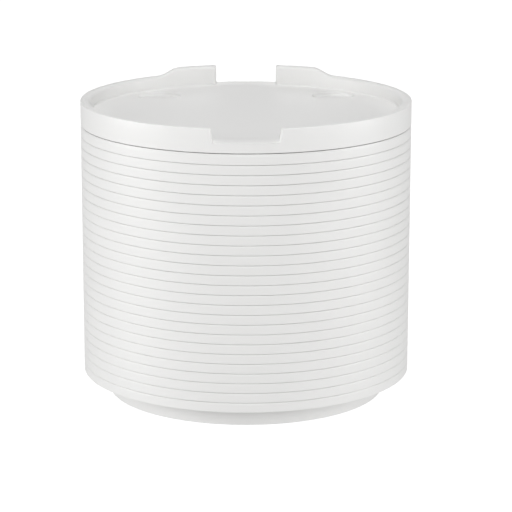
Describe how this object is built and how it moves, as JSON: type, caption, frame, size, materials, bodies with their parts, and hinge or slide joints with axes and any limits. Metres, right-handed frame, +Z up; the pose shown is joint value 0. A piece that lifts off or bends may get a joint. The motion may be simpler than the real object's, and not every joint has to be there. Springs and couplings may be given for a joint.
{
  "type": "mesh wifi node",
  "caption": "Round ribbed mesh wifi node on a narrow foot, with a crowned docking tray on top and a rear bay of network, power and button fittings.",
  "frame": {"origin": "centre of the underside of the rubber foot pad, on the surface that the node stands on", "axes": "+Z up along the round housing's axis, +Y towards the port bay at the back, +X to the right of someone facing the front"},
  "size_m": [0.1024, 0.1024, 0.0944],
  "materials": {
    "white_shell": "fine matt moulded white",
    "white_base": "fine matt moulded white",
    "pad_rubber": "soft matt grey silicone",
    "label_film": "blank satin film",
    "bay_plastic": "matt moulded white",
    "screw_steel": "zinc plated",
    "jack_plastic": "satin black",
    "tinned_steel": "tin plated",
    "gold_contact": "gold plated",
    "button_plastic": "matt moulded white",
    "switch_plastic": "matt black",
    "circuit_board": "green solder mask",
    "antenna_board": "blue solder mask",
    "lead_jacket": "grey jacket",
    "drum_plastic": "matt dark grey",
    "chip_plastic": "matt black epoxy",
    "can_aluminium": "satin",
    "sink_aluminium": "extruded, satin",
    "pad_silicone": "soft silicone",
    "clear_plastic": "frosted clear"
  },
  "bodies": {
    "housing": {"antenna_1": "antenna_board", "antenna_2": "antenna_board", "antenna_3": "antenna_board", "antenna_4": "antenna_board", "antenna_drum": "drum_plastic", "antenna_lead_1": "lead_jacket", "antenna_lead_2": "lead_jacket", "antenna_lead_3": "lead_jacket", "antenna_lead_4": "lead_jacket", "board_screws": "screw_steel", "bottom_cover": "white_base", "capacitors": "can_aluminium", "case_screws": "screw_steel", "drum_screws": "screw_steel", "foot_pad": "pad_rubber", "heat_sink": "sink_aluminium", "lan_contacts_1": "gold_contact", "lan_contacts_2": "gold_contact", "lan_jack_1": "jack_plastic", "lan_jack_2": "jack_plastic", "lan_shield_1": "tinned_steel", "lan_shield_2": "tinned_steel", "lead_sockets": "gold_contact", "light_pipe": "clear_plastic", "magnetics": "chip_plastic", "main_board": "circuit_board", "memory_chips": "chip_plastic", "pairing_switch": "switch_plastic", "port_bay": "bay_plastic", "power_coil": "chip_plastic", "power_jack": "tinned_steel", "power_tongue": "jack_plastic", "processor": "chip_plastic", "radio_can_left": "tinned_steel", "radio_can_right": "tinned_steel", "rating_label": "label_film", "reset_switch": "switch_plastic", "ribbed_sleeve": "white_shell", "side_board": "circuit_board", "sink_screws": "screw_steel", "status_led": "clear_plastic", "thermal_pads": "pad_silicone", "top_cover": "white_shell"},
    "pairing_key": {"pairing_button": "button_plastic", "pairing_plunger": "switch_plastic"},
    "reset_key": {"reset_button": "button_plastic", "reset_plunger": "switch_plastic"}
  },
  "joints": [
    {"name": "pairing_press", "type": "slide", "parent": "housing", "child": "pairing_key", "axis": [0, -1, 0], "range_m": [0, 0.0005], "stiffness_N_per_m": 2500},
    {"name": "reset_press", "type": "slide", "parent": "housing", "child": "reset_key", "axis": [0, -1, 0], "range_m": [0, 0.0004], "stiffness_N_per_m": 2500}
  ]
}
